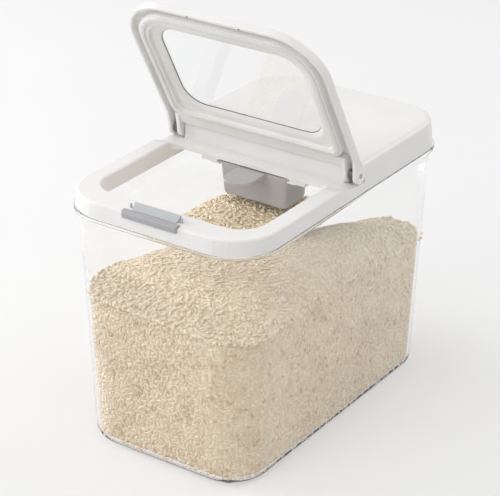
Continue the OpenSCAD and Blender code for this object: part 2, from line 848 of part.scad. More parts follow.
// The soft seal that the closed lid presses on the rim
module lid_seal() {
    color([0.88, 0.88, 0.87]) open_lid() difference() {
        union() {
            prism(ring_outline(1.6), seal_z, ring_z);
            prism(ring_outline(3 + seat), ring_z - 0.5, ring_z + 1.5);
        }
        prism(ring_outline(5 - seat), ring_z, far);
        prism(ring_outline(6), 0, ring_z + 0.1);
    }
}

// The push button and its slider, bored for two springs
module latch_button() {
    color([0.62, 0.63, 0.65]) difference() {
        union() {
            intersection() {
                along([[button_y, button_foot], [button_y, rim_z - 0.6], [button_y + 0.6, rim_z + 0.4],
                    [button_y + button_lean, over + 0.8], [button_y + button_head - 0.6, over + 1.2],
                    [button_y + button_head, over + 0.8], [button_y + button_head, over],
                    [button_y + button_t, over],
                    [button_y + button_t, button_foot]], -button_x, button_x);
                prism([[-button_x, button_y + button_cut], [button_cut - button_x, button_y],
                    [button_x - button_cut, button_y], [button_x, button_y + button_cut],
                    [button_x, bar_y], [-button_x, bar_y]], 0, far);
            }
            block([-slider_x, button_y + 2, button_foot], [slider_x, slider_back, slider_top]);
            block([-slider_x, button_y + slider_in, slider_foot], [slider_x, slider_back, slider_top]);
        }
        for (x = sides) translate([x * latch_x, slider_back - pocket_d, slider_mid])
            rotate([-90, 0, 0]) cylinder(r = pocket_r, h = pocket_d + 1);
    }
}

// The catch bar behind the button, with a stem on the slider and two teeth
module catch_bar() {
    half = bar_w / 2;
    tooth_y = lid_y + lid_wall + gap;
    color([0.76, 0.78, 0.79]) union() {
        intersection() {
            along([[bar_y + 0.8, over], [bar_y + 3.6, over + 1.6], [bar_back - 1.2, over + 4.5],
                [bar_back - 0.4, over + 4.8], [bar_back, over + 4.4], [bar_back, over]], -half, half);
            prism([[1.4 - half, bar_y], [half - 1.4, bar_y], [half, bar_back], [-half, bar_back]],
                0, far);
        }
        block([-stem_x, stem_y[0], slider_top], [stem_x, stem_y[1], over + 0.1]);
        both() {
            block([half - 3, tooth_y + 0.2, over], [teeth_apart / 2 + tooth, tooth_y + 1.5, over + 0.8]);
            block([teeth_apart / 2 - tooth, tooth_y, over], [teeth_apart / 2 + tooth, tooth_y + 1.5,
                lid_foot + 1.9]);
        }
    }
}

// The bracket under the rim that guides the slider and backs its springs
module latch_housing() {
    color([0.9, 0.9, 0.89]) difference() {
        union() {
            block([-house_x, house_front, slider_foot - gap - house_t],
                [house_x, house_back + house_t, slider_foot - gap]);
            block([-house_x, house_back, slider_foot - gap - house_t],
                [house_x, house_back + house_t, rim_z - top_t]);
            both() block([slider_x + gap, house_front, slider_foot - gap - house_t],
                [house_x, house_back + house_t, rim_z - top_t]);
            both() block([house_x - 1, house_front, house_ear - 2],
                [house_x + house_wing, house_back + house_t, house_ear]);
        }
        latch_screw_places() cylinder(r = latch_screw_r + seat, h = far);
    }
}

// The two screws that hold the latch bracket
module latch_screws() {
    color([0.6, 0.6, 0.6]) latch_screw_places() translate([0, 0, house_ear - 2])
        difference() {
            screw(latch_screw_r, rim_z - top_t - house_ear + 1.2, 2.3, 1.5);
            cross_slot(1.5, 0.3, 1.5);
        }
}

bin_body();
foot_pads();
rice_fill();
top_cover();
cover_gasket();
scoop_rail_left();
scoop_rail_right();
rail_screws();
scoop();
hinge_pin_left();
hinge_pin_right();
torsion_spring_left();
torsion_spring_right();
flip_lid_frame();
window_pane();
window_gasket();
lid_seal();
latch_button();
catch_bar();
latch_springs();
latch_housing();
latch_screws();
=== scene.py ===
"""The looks of a rice bin with a flip lid.

Lengths are in millimetres and are turned into metres where a mesh is made. The origin is the bottom
centre of the bin, the front faces -Y and Z is up.
"""
import math

import bmesh
import bpy
import numpy as np
from mathutils import Matrix, Vector


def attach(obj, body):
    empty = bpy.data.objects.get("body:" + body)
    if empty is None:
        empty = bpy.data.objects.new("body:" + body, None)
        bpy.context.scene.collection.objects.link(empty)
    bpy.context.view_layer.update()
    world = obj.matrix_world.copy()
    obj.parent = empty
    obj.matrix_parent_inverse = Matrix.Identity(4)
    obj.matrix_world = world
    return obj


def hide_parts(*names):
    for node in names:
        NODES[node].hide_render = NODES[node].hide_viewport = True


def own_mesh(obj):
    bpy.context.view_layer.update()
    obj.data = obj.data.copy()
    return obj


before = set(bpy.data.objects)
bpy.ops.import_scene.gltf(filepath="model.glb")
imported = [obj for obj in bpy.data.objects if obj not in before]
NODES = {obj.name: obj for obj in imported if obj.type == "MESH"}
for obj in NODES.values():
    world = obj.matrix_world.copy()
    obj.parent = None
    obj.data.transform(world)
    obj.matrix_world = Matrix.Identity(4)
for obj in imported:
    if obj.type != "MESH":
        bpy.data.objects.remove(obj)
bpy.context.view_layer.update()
MM = 0.001
rng = np.random.default_rng(11)

# Bin
LIP_X, LIP_Y, LIP_R = 100.5, 163.0, 44.0
LIP_OUT = 4.0
LIP_T = 3.0
BIN_H = 225.0
FOOT_X, FOOT_Y, FOOT_R = 87.8, 152.4, 37.7
WALL = 2.6
BASE_Z = 1.2
BASE_T = 3.0
EDGE_R = 9.0

# Lid, as it lies closed
LID_OPEN = math.radians(61.5)
HINGE_Y, HINGE_Z = 6.3, 242.5
EAR_R = 7.5
SWEEP = 8.9
ROOF_Z = 250.0
LID_FOOT = 241.7
PLATE_Z = 247.4
FRAME_Z = 244.6
PANE_SEAT = 247.5
RING_Z = 241.4
SEAL_Z = 239.8
RING_BACK = -13.7
LID_X, LID_FRONT, LID_R, LID_BACK_R = 99.5, -154.25, 44.9, 1.0
SKIRT_T = 2.7
WINDOW_X, WINDOW_FRONT, WINDOW_BACK, WINDOW_R = 72.0, -124.7, -29.7, 20.0
REBATE = 2.7
OUTER_X, OUTER_FRONT, OUTER_R, OUTER_BACK_R = 89.5, -145.2, 34.9, 13.0
INNER_X, INNER_FRONT, INNER_R, INNER_BACK, INNER_BACK_R = 81.0, -133.7, 26.4, -20.7, 8.0
BAR_X = 86.2
INNER_EAR = (85.2, 89.0)
OUTER_EAR = (95.5, 99.5)
PIN_HOLE_R = 2.35
PIN_HOLE_DEPTH = 2.5
CATCH_X, CATCH_Y, CATCH_R = 26.0, -152.9, 0.9

# The ear's outline: where its round end starts, the steps round it, and the thinning of its front
EAR_TURN = math.atan2(-0.78, -0.62)
ARC_STEPS = 30
CHORD_STEPS = 18
TAPER_DEPTH = 1.3
TAPER_FROM = -5.0
TAPER_LENGTH = 8.7

# Rice
RICE_H = 144.0
RICE_RISE = 46.0
RICE_X = 93.0
RICE_Y = 157.0
RICE_GAP = 0.4
RICE_BOW = 0.3
RICE_SUNK = 0.7
TILT_X = 3
TILT_BACK = 11
TILT_CORNER = 12
GRAIN_L = 6.6
GRAIN_W = 3.0
TOP_CELL = 3.5
TOP_X, TOP_Y, TOP_R = 91.5, 155.0, 34.0
SIDE_STEP = 3.05
SIDE_GAP = 3.5
SIDE_INSET = 0.9
CORNER_STEPS = 24

# Colours, in linear light
WHITE = (0.80, 0.79, 0.775)
GREY = (0.455, 0.44, 0.44)
BUTTON = (0.37, 0.37, 0.395)
BAR = (0.47, 0.49, 0.50)
SEAL = (0.74, 0.735, 0.72)
# Dark: the window gasket's rubber, and the painted shade at each hole of the catch
DARK = (0.10, 0.10, 0.105)
STEEL = (0.62, 0.61, 0.60)
PAD = (0.12, 0.12, 0.125)
RICE_LIGHT = (0.90, 0.76, 0.56)
RICE_DARK = (0.66, 0.475, 0.275)
# Painted light: the heap's top grains take a lighter copy of the rice's colours, as if lit from above
PAINTED_LIT_TOP_LIGHT = (0.94, 0.83, 0.65)
PAINTED_LIT_TOP_DARK = (0.76, 0.61, 0.41)
# Dark spring steel, made darker still as painted shade of the deep hinge notch
SPRING_DARK_AND_NOTCH_SHADE = (0.24, 0.24, 0.25)

# Nearly all values of a noise texture lie between these
LOW, HIGH = 0.3, 0.7


def node(tree, kind, **sockets):
    """A shader node with some of its sockets set by name."""
    made = tree.nodes.new(kind)
    for name, value in sockets.items():
        made.inputs[name.replace("_", " ")].default_value = value
    return made


def noise(tree, scale, detail=2.0, roughness=0.5):
    """A noise texture in the object's own coordinates."""
    place = tree.nodes.new("ShaderNodeTexCoord")
    made = node(tree, "ShaderNodeTexNoise", Scale=scale, Detail=detail, Roughness=roughness)
    tree.links.new(place.outputs["Object"], made.inputs["Vector"])
    return made


def between(tree, source, low, high):
    """A value from low to high as a noise goes between its usual limits."""
    made = node(tree, "ShaderNodeMapRange", From_Min=LOW, From_Max=HIGH, To_Min=low, To_Max=high)
    tree.links.new(source, made.inputs["Value"])
    return made.outputs["Result"]


def colours(tree, source, stops):
    """A colour ramp over source, given as (place, colour) pairs."""
    made = tree.nodes.new("ShaderNodeValToRGB")
    ramp = made.color_ramp
    while len(ramp.elements) < len(stops):
        ramp.elements.new(0.5)
    for element, (place, colour) in zip(ramp.elements, stops):
        element.position = place
        element.color = (*colour, 1.0)
    tree.links.new(source, made.inputs["Fac"])
    return made.outputs["Color"]


def tint(colour, k):
    """A colour, lighter or darker by the factor k."""
    return tuple(min(1.0, c * k) for c in colour)


def tones(tree, source, colour, dark, light):
    """A colour that goes from the factor dark to the factor light with a noise."""
    return colours(tree, source, [(LOW, tint(colour, dark)), (HIGH, tint(colour, light))])


def math_node(tree, operation, *values):
    """The output of a math node over sockets and plain numbers."""
    made = node(tree, "ShaderNodeMath")
    made.operation = operation
    for socket, value in zip(made.inputs, values):
        if isinstance(value, bpy.types.NodeSocket):
            tree.links.new(value, socket)
        else:
            socket.default_value = value
    return made.outputs[0]


def mixed(tree, share, first, second):
    """The output of a mix of two shaders, by a share that is 0 for the first."""
    made = tree.nodes.new("ShaderNodeMixShader")
    for socket, source in zip(made.inputs, (share, first, second)):
        tree.links.new(source, socket)
    return made.outputs["Shader"]


def start(name):
    """A new material with its tree and a Principled shader on its output."""
    mat = bpy.data.materials.new(name)
    mat.use_nodes = True
    tree = mat.node_tree
    tree.nodes.clear()
    out = tree.nodes.new("ShaderNodeOutputMaterial")
    shader = tree.nodes.new("ShaderNodeBsdfPrincipled")
    tree.links.new(shader.outputs["BSDF"], out.inputs["Surface"])
    return mat, tree, shader, out


def bumped(tree, shader, source, strength, distance):
    """Bump on the shader from a height."""
    made = node(tree, "ShaderNodeBump", Strength=strength, Distance=distance)
    tree.links.new(source, made.inputs["Height"])
    tree.links.new(made.outputs["Normal"], shader.inputs["Normal"])


def plastic(name, colour, rough, grain=1800.0, bump=0.12, spread=0.035):
    """Moulded plastic: a fine satin grain, and broad faint changes of tone and gloss."""
    mat, tree, shader, _ = start(name)
    broad = noise(tree, 16.0, 3.0)
    tree.links.new(tones(tree, broad.outputs["Fac"], colour, 1 - spread, 1 + spread),
                   shader.inputs["Base Color"])
    gloss = noise(tree, 70.0, 4.0)
    tree.links.new(between(tree, gloss.outputs["Fac"], rough - 0.05, rough + 0.06),
                   shader.inputs["Roughness"])
    fine = noise(tree, grain, 2.0)
    bumped(tree, shader, fine.outputs["Fac"], bump, 0.00008)
    shader.inputs["IOR"].default_value = 1.5
    return mat


def clear_plastic(name, tone, shadow):
    """Clear moulded plastic that lets lamp light through to what is behind it."""
    mat, tree, shader, out = start(name)
    gloss = noise(tree, 40.0, 3.0)
    tree.links.new(between(tree, gloss.outputs["Fac"], 0.0, 0.012), shader.inputs["Roughness"])
    broad = noise(tree, 9.0, 1.0)
    tree.links.new(tones(tree, broad.outputs["Fac"], tone, 0.99, 1.01), shader.inputs["Base Color"])
    wave = noise(tree, 22.0, 1.0)
    bumped(tree, shader, wave.outputs["Fac"], 0.03, 0.0006)
    shader.inputs["IOR"].default_value = 1.46
    shader.inputs["Transmission Weight"].default_value = 1.0
    path = tree.nodes.new("ShaderNodeLightPath")
    through = tree.nodes.new("ShaderNodeBsdfTransparent")
    through.inputs["Color"].default_value = (*shadow, 1.0)
    rays = math_node(tree, "MAXIMUM", path.outputs["Is Shadow Ray"], path.outputs["Is Diffuse Ray"])
    tree.links.new(mixed(tree, rays, shader.outputs["BSDF"], through.outputs["BSDF"]), out.inputs["Surface"])
    return mat


def silicone(name, colour, rough):
    """Soft rubber or silicone with a dull skin."""
    mat = plastic(name, colour, rough, grain=900.0, bump=0.2, spread=0.05)
    shader = mat.node_tree.nodes["Principled BSDF"]
    shader.inputs["Specular IOR Level"].default_value = 0.35
    return mat


def steel(name, colour):
    """Drawn steel wire with fine marks."""
    mat, tree, shader, _ = start(name)
    marks = noise(tree, 1400.0, 3.0, 0.7)
    tree.links.new(tones(tree, marks.outputs["Fac"], colour, 0.8, 1.15), shader.inputs["Base Color"])
    tree.links.new(between(tree, marks.outputs["Fac"], 0.2, 0.38), shader.inputs["Roughness"])
    bumped(tree, shader, marks.outputs["Fac"], 0.1, 0.00005)
    shader.inputs["Metallic"].default_value = 1.0
    return mat


def rice_material(name, high, low, drift_by):
    """Dry rice: each grain has a tone of its own, with small blotches and broad drifts over it."""
    mat, tree, shader, _ = start(name)
    tone = tree.nodes.new("ShaderNodeAttribute")
    tone.attribute_name = "tone"
    middle = tuple((a + b * 2) / 3 for a, b in zip(low, high))
    blotch = noise(tree, 420.0, 3.0)
    drift = noise(tree, 50.0, 3.0, 0.6)
    total = math_node(tree, "ADD", between(tree, blotch.outputs["Fac"], -0.14, 0.14), tone.outputs["Fac"])
    total = math_node(tree, "ADD", total, between(tree, drift.outputs["Fac"], -drift_by, drift_by))
    colour = colours(tree, total, [(0.0, low), (0.3, middle), (0.75, high), (1.0, tint(high, 1.08))])
    tree.links.new(colour, shader.inputs["Base Color"])
    gloss = noise(tree, 600.0, 2.0)
    tree.links.new(between(tree, gloss.outputs["Fac"], 0.62, 0.8), shader.inputs["Roughness"])
    bumped(tree, shader, blotch.outputs["Fac"], 0.1, 0.0003)
    shader.inputs["Specular IOR Level"].default_value = 0.2
    return mat


WHITE_PLASTIC = plastic("white_plastic", WHITE, 0.36)
GREY_PLASTIC = plastic("grey_plastic", GREY, 0.4, bump=0.18)
BUTTON_PLASTIC = plastic("button_plastic", BUTTON, 0.34)
BAR_PLASTIC = plastic("bar_plastic", BAR, 0.34)
CLEAR_PLASTIC = clear_plastic("clear_plastic", (0.985, 0.988, 0.99), (0.94, 0.945, 0.95))
PANE_PLASTIC = clear_plastic("pane_plastic", (0.97, 0.975, 0.98), (0.93, 0.935, 0.94))
SILICONE = silicone("soft_seal", SEAL, 0.5)
# Dark rubber for the window gasket, also used as painted shade at each hole of the catch
DARK_SEAL_AND_HOLE_SHADE = silicone("dark_seal", DARK, 0.5)
PAD_RUBBER = silicone("pad_rubber", PAD, 0.6)
STEEL_WIRE = steel("steel_wire", STEEL)
# Dark spring steel, partly painted shade of the deep hinge notch
SPRING_WIRE_AND_NOTCH_SHADE = steel("spring_wire_and_notch_shade", SPRING_DARK_AND_NOTCH_SHADE)
RICE = rice_material("rice", RICE_LIGHT, RICE_DARK, 0.28)
# Painted light: the top grains' material is a lighter copy of the rice, as if lit from above
RICE_TOP_PAINTED_LIT = rice_material("rice_top", PAINTED_LIT_TOP_LIGHT, PAINTED_LIT_TOP_DARK, 0.25)
RICE_BED = rice_material("rice_bed", tint(RICE_LIGHT, 0.97), tint(RICE_DARK, 0.97), 0.25)

FINISH = {
    "foot_pads": PAD_RUBBER,
    "top_cover": WHITE_PLASTIC,
    "cover_gasket": SILICONE,
    "scoop_rail_left": WHITE_PLASTIC,
    "scoop_rail_right": WHITE_PLASTIC,
    "rail_screws": STEEL_WIRE,
    "scoop": GREY_PLASTIC,
    "hinge_pin_left": STEEL_WIRE,
    "hinge_pin_right": STEEL_WIRE,
    "window_pane": PANE_PLASTIC,
    "window_gasket": DARK_SEAL_AND_HOLE_SHADE,
    "latch_button": BUTTON_PLASTIC,
    "catch_bar": BAR_PLASTIC,
    "latch_housing": WHITE_PLASTIC,
    "latch_screws": STEEL_WIRE,
}


def dress(obj, material):
    """Gives an object one material on every face."""
    obj.data.materials.clear()
    obj.data.materials.append(material)


def smooth(obj, degrees=35.0):
    """Smooth shading with sharp edges kept."""
    obj.data.polygons.foreach_set("use_smooth", [True] * len(obj.data.polygons))
    obj.data.set_sharp_from_angle(angle=math.radians(degrees))


def mesh_object(name, verts, faces, material, body, angle=35.0):
    """A finished mesh piece from points in millimetres."""
    mesh = bpy.data.meshes.new(name)
    mesh.from_pydata([tuple(c * MM for c in v) for v in verts], [], faces)
    mesh.validate()
    mesh.update()
    obj = bpy.data.objects.new(name, mesh)
    bpy.context.scene.collection.objects.link(obj)
    dress(obj, material)
    smooth(obj, angle)
    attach(obj, body)
    return obj


def corner(x, y, r, a):
    """Points of a quarter circle that starts at the angle a."""
    turns = [math.radians(a + 90.0 * i / CORNER_STEPS) for i in range(CORNER_STEPS + 1)]
    return [(x + r * math.cos(t), y + r * math.sin(t)) for t in turns]


def outline(x, y0, y1, front_r, back_r):
    """A rectangle from y0 to y1 with its front and back corners rounded."""
    return (corner(x - back_r, y1 - back_r, back_r, 0)
            + corner(back_r - x, y1 - back_r, back_r, 90)
            + corner(front_r - x, y0 + front_r, front_r, 180)
            + corner(x - front_r, y0 + front_r, front_r, 270))


def bin_wall(z, inset):
    """The bin's wall at one height, moved in."""
    up = z / BIN_H
    x = FOOT_X + (LIP_X - LIP_OUT - FOOT_X) * up - inset
    y = FOOT_Y + (LIP_Y - LIP_OUT - FOOT_Y) * up - inset
    r = max(4.0, FOOT_R + (LIP_R - LIP_OUT - FOOT_R) * up - inset)
    return outline(x, -y, y, r, r)


def rim(inset):
    """The lip's outline, moved in."""
    return outline(LIP_X - inset, inset - LIP_Y, LIP_Y - inset, LIP_R - inset, LIP_R - inset)


def skin(rings):
    """Points and faces of a closed solid through rings of as many points each."""
    n = len(rings[0])
    verts = [p for ring in rings for p in ring]
    faces = [tuple(range(n - 1, -1, -1))]
    for k in range(len(rings) - 1):
        a, b = k * n, (k + 1) * n
        faces += [(a + i, a + (i + 1) % n, b + (i + 1) % n, b + i) for i in range(n)]
    faces.append(tuple(range(len(verts) - n, len(verts))))
    return verts, faces


def at(points, z):
    """An outline at one height."""
    return [(x, y, z) for x, y in points]


def quarter(r, steps):
    """(inset, rise) pairs along a fillet of radius r, from its foot to its top."""
    turns = [math.pi / 2 * i / steps for i in range(steps + 1)]
    return [(r * (1 - math.sin(t)), r * (1 - math.cos(t))) for t in turns]


def make_bin():
    """The clear tub: outside, lip and inside as one closed skin."""
    rings = [at(bin_wall(BASE_Z, EDGE_R + 2.0), BASE_Z)]
    rings += [at(bin_wall(BASE_Z + z, inset), BASE_Z + z) for inset, z in quarter(EDGE_R, 8)]
    rings += [at(bin_wall(z, 0.0), z) for z in (60.0, 120.0, 180.0, BIN_H - LIP_T - 1.2)]
    rings.append(at(rim(LIP_OUT - 0.35), BIN_H - LIP_T - 0.3))
    rings.append(at(rim(LIP_OUT - 1.2), BIN_H - LIP_T))
    rings += [at(rim(inset), BIN_H - LIP_T + z) for inset, z in quarter(0.6, 3)]
    rings += [at(rim(inset), BIN_H - z) for inset, z in reversed(quarter(0.5, 3))]
    rings.append(at(bin_wall(BIN_H, WALL - 0.4), BIN_H))
    rings.append(at(bin_wall(BIN_H - 0.4, WALL), BIN_H - 0.4))
    rings += [at(bin_wall(z, WALL), z) for z in (180.0, 120.0, 60.0)]
    inner = EDGE_R - 1.5
    floor_z = BASE_Z + BASE_T
    rings += [at(bin_wall(floor_z + z, WALL + inset), floor_z + z)
              for inset, z in reversed(quarter(inner, 8))]
    rings.append(at(bin_wall(floor_z, WALL + inner + 3.0), floor_z))
    verts, faces = skin(rings)
    made = mesh_object("clear_bin", verts, faces, CLEAR_PLASTIC, "bin")
    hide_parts("bin_body")


def swept(rings):
    """Points and faces of a closed band through rings that end where they start."""
    n = len(rings[0])
    verts = [p for ring in rings for p in ring]
    faces = []
    for k in range(len(rings)):
        a, b = k * n, (k + 1) % len(rings) * n
        faces += [(a + i, a + (i + 1) % n, b + (i + 1) % n, b + i) for i in range(n)]
    return verts, faces


def opened(verts):
    """Points of the closed lid, turned to where the lid rests."""
    c, s = math.cos(LID_OPEN), math.sin(LID_OPEN)
    return [(x, HINGE_Y + (y - HINGE_Y) * c + (z - HINGE_Z) * s,
             HINGE_Z - (y - HINGE_Y) * s + (z - HINGE_Z) * c) for x, y, z in verts]


def lid_outline(x, y0, y1, front_r, back_r, side_y=None):
    """An outline with two more points near the back of each side."""
    side_y = y1 - back_r - 2.0 if side_y is None else side_y
    points = outline(x, y0, y1, front_r, back_r)
    half = len(points) // 2
    return (points[:half] + [(-x, side_y + 0.1), (-x, side_y)] + points[half:]
            + [(x, side_y), (x, side_y + 0.1)])


def lid_ring(inset, z):
    """The lid's outline at one height, moved in. Its back stops at the plate and clears the step."""
    back_z = max(z, PLATE_Z)
    back_y = HINGE_Y - math.sqrt(SWEEP ** 2 - (back_z - HINGE_Z) ** 2)
    points = lid_outline(LID_X - inset, LID_FRONT + inset, back_y, LID_R - inset, LID_BACK_R, RING_BACK)
    return [(x, y, back_z if y > RING_BACK + 0.05 else z) for x, y in points]


def window_ring(out, z):
    """The window's outline at one height, moved out."""
    return at(lid_outline(WINDOW_X + out, WINDOW_FRONT - out, WINDOW_BACK + out,
                          WINDOW_R + out, WINDOW_R + out), z)


def ring_outer(inset, z):
    """The seal ring's outer outline at one height, moved in."""
    return at(lid_outline(OUTER_X - inset, OUTER_FRONT + inset, RING_BACK - inset,
                          OUTER_R - inset, OUTER_BACK_R - inset), z)


def ring_inner(out, z):
    """The seal ring's inner outline at one height, moved out."""
    return at(lid_outline(INNER_X + out, INNER_FRONT - out, INNER_BACK + out,
                          INNER_R + out, INNER_BACK_R + out), z)


def ear_points(inset):
    """Side view of an ear, moved in where it is free: its front end, its way along the round end, its top."""
    end = math.radians(90.0)
    r = EAR_R - inset
    arc = [EAR_TURN + (end - EAR_TURN) * i / ARC_STEPS for i in range(ARC_STEPS + 1)]
    points = [(RING_BACK, LID_FOOT + inset)]
    points += [(HINGE_Y + r * math.cos(a), HINGE_Z + r * math.sin(a)) for a in arc]
    return points + [(1.5, ROOF_Z - 0.1 - inset), (0.0, PLATE_Z + 0.1), (RING_BACK, PLATE_Z + 0.1)]


def ear(x0, x1, bore):
    """Points and faces of one ear between x0 and x1 with soft edges, and a bore in the face at x1."""
    way = 1 if x1 > x0 else -1
    rings = []
    for x, inset, inner in ((x0, 0.5, 1), (x0 + 0.15 * way, 0.15, 1), (x0 + 0.5 * way, 0.0, 1),
                            (x1 - 0.5 * way, 0.0, 0), (x1 - 0.15 * way, 0.15, 0), (x1, 0.5, 0)):
        points = ear_points(inset)
        taper = [bore * inner * TAPER_DEPTH * min(max((TAPER_FROM - y) / TAPER_LENGTH, 0.0), 1.0)
                 for y, _ in points]
        rings.append([(x + way * t, y, z) for t, (y, z) in zip(taper, points)])
    verts, faces = skin(rings)
    if not bore:
        return verts, faces
    faces.pop()
    n = len(rings[0])
    first, last = len(verts), len(verts) - n
    r = EAR_R - 0.5
    start, end = math.radians(90.0), EAR_TURN + 2 * math.pi
    inside = [start + (end - start) * i / CHORD_STEPS for i in range(1, CHORD_STEPS)]
    verts += [(x1, HINGE_Y + r * math.cos(a), HINGE_Z + r * math.sin(a)) for a in inside]
    arc_end = last + 1 + ARC_STEPS
    loop = list(range(last + 1, arc_end + 1)) + list(range(first, len(verts)))
    faces.append(tuple([last, last + 1] + loop[:ARC_STEPS:-1] + list(range(arc_end, last + n))))
    hub = len(verts)
    for x in (x1, x1 - PIN_HOLE_DEPTH * way):
        for _, y, z in [verts[i] for i in loop]:
            k = PIN_HOLE_R / math.hypot(y - HINGE_Y, z - HINGE_Z)
            verts.append((x, HINGE_Y + (y - HINGE_Y) * k, HINGE_Z + (z - HINGE_Z) * k))
    m = len(loop)
    for i in range(m):
        j = (i + 1) % m
        faces.append((loop[i], loop[j], hub + j, hub + i))
        faces.append((hub + i, hub + j, hub + m + j, hub + m + i))
    faces.append(tuple(range(hub + m, hub + 2 * m)))
    return verts, faces


def lid_frame_parts():
    """Closed skins of the lid's frame: plate with skirt and seal ring, rear bar, and ears."""
    lower = [(0.5, LID_FOOT), (0.15, LID_FOOT + 0.15), (0.0, LID_FOOT + 0.5)]
    upper = [(0.0, ROOF_Z - 2.1), (0.15, ROOF_Z - 1.25), (0.55, ROOF_Z - 0.55), (1.15, ROOF_Z - 0.13),
             (1.7, ROOF_Z)]
    rings = [lid_ring(inset, z) for inset, z in lower + upper]
    rings += [window_ring(out, z) for out, z in (
        (REBATE + 0.3, ROOF_Z), (REBATE, ROOF_Z - 0.3), (REBATE, PANE_SEAT), (0.2, PANE_SEAT),
        (0.0, PANE_SEAT - 0.2), (0.0, PANE_SEAT - 0.6), (0.4, PANE_SEAT - 1.0),
        (4.2, FRAME_Z + 0.15), (4.9, FRAME_Z))]
    rings += [ring_inner(out, z) for out, z in (
        (-0.5, FRAME_Z), (-0.12, FRAME_Z - 0.12), (0.0, FRAME_Z - 0.5),
        (0.0, RING_Z + 0.6), (0.18, RING_Z + 0.18), (0.6, RING_Z))]
    rings += [ring_outer(inset, z) for inset, z in (
        (0.6, RING_Z), (0.18, RING_Z + 0.18), (0.0, RING_Z + 0.6),
        (0.0, PLATE_Z - 0.5), (-0.15, PLATE_Z - 0.15), (-0.5, PLATE_Z))]
    rings += [lid_ring(SKIRT_T + more, z) for more, z in (
        (0.5, PLATE_Z), (0.15, PLATE_Z - 0.15), (0.0, PLATE_Z - 0.5),
        (0.0, LID_FOOT + 0.5), (-0.15, LID_FOOT + 0.15), (-0.5, LID_FOOT))]
    parts = [swept(rings)]
    heights = [RING_Z + 0.1 + (ROOF_Z - 1.0 - RING_Z) * k / 8 for k in range(9)]
    back = [(HINGE_Y - math.sqrt(SWEEP ** 2 - (z - HINGE_Z) ** 2), z) for z in heights]
    bar = [(RING_BACK - 0.5, RING_Z + 0.1)] + back + [(RING_BACK - 0.5, heights[-1])]
    parts.append(skin([[(x, y, z) for y, z in bar] for x in (-BAR_X, BAR_X)]))
    for way in (-1, 1):
        for (x0, x1), bore in ((INNER_EAR, False), (OUTER_EAR, True)):
            parts.append(ear(x0 * way, x1 * way, bore))
    return parts


def joined(parts):
    """One list of points and one of faces from several skins."""
    verts, faces = [], []
    for more_verts, more_faces in parts:
        start = len(verts)
        verts += list(more_verts)
        faces += [tuple(start + i for i in face) for face in more_faces]
    return verts, faces


def tidy_faces(obj):
    """Merges points that lie together, drops faces without area and turns all faces outward."""
    bm = bmesh.new()
    bm.from_mesh(obj.data)
    bmesh.ops.remove_doubles(bm, verts=bm.verts, dist=1e-6)
    bmesh.ops.dissolve_degenerate(bm, edges=bm.edges, dist=1e-6)
    bmesh.ops.recalc_face_normals(bm, faces=bm.faces)
    bm.to_mesh(obj.data)
    bm.free()


def make_lid():
    """The lid's frame and its soft seal with fine rounded edges, and dark discs of painted shade at each hole
    of the catch.
    """
    verts, faces = joined(lid_frame_parts())
    frame_piece = mesh_object("lid_frame", opened(verts), faces, WHITE_PLASTIC, "lid")
    tidy_faces(frame_piece)
    smooth(frame_piece, 32.0)
    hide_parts("flip_lid_frame")
    # Painted shade: a dark disc in the skirt's foot at each hole of the catch, standing for the shade inside
    # it
    turns = [2 * math.pi * k / 20 for k in range(20)]
    hole_shade_discs = [skin([[(x + r * math.cos(t), CATCH_Y + r * math.sin(t), LID_FOOT + dz) for t in turns]
                   for dz, r in ((0.4, CATCH_R), (-0.02, CATCH_R), (-0.05, CATCH_R - 0.1))])
             for x in (-CATCH_X, CATCH_X)]
    verts, faces = joined(hole_shade_discs)
    mesh_object("painted_catch_hole_shade", opened(verts), faces, DARK_SEAL_AND_HOLE_SHADE, "lid")
    verts, faces = swept([ring_outer(inset, z) for inset, z in (
        (1.6, RING_Z), (1.6, SEAL_Z + 0.7), (1.8, SEAL_Z + 0.2), (2.3, SEAL_Z),
        (5.3, SEAL_Z), (5.8, SEAL_Z + 0.2), (6.0, SEAL_Z + 0.7), (6.0, RING_Z))])
    seal = mesh_object("seal_ring", opened(verts), faces, SILICONE, "lid")
    tidy_faces(seal)
    smooth(seal, 32.0)
    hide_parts("lid_seal")


def tube(path, centre_line, r, sides=8):
    """Points and faces of a wire along a path, with its sides set by the direction from a centre line."""
    rings = []
    for k, point in enumerate(path):
        before, after = Vector(path[max(k - 1, 0)]), Vector(path[min(k + 1, len(path) - 1)])
        ahead = (after - before).normalized()
        across = ahead.cross(Vector(centre_line[k])).normalized()
        up = across.cross(ahead)
        rings.append([tuple(Vector(point) + r * (math.cos(t) * up + math.sin(t) * across))
                      for t in (2 * math.pi * i / sides for i in range(sides))])
    return skin(rings)


def make_springs():
    """The hinge springs: dark steel wire round each pin, with a leg down behind it; the wire is made darker
    partly as painted shade of the deep notch.
    """
    coil, wire, pitch, coils, steps, leg, start_x = 4.9, 1.3, 1.5, 3, 24, 6.2, 90.35
    for way, side in ((-1, "left"), (1, "right")):
        path = [(start_x * way, HINGE_Y + coil, HINGE_Z - down) for down in (leg, leg / 2)]
        outward = [(0.0, 1.0, 0.0)] * 2
        for k in range(coils * steps + 1):
            a = 2 * math.pi * k / steps
            path.append(((start_x + pitch * k / steps) * way,
                         HINGE_Y + coil * math.cos(a), HINGE_Z + coil * math.sin(a)))
            outward.append((0.0, math.cos(a), math.sin(a)))
        verts, faces = tube(path, outward, wire / 2)
        spring = mesh_object("hinge_spring_" + side, verts, faces, SPRING_WIRE_AND_NOTCH_SHADE, "cover")
        tidy_faces(spring)
        smooth(spring, 60.0)
        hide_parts("torsion_spring_" + side)


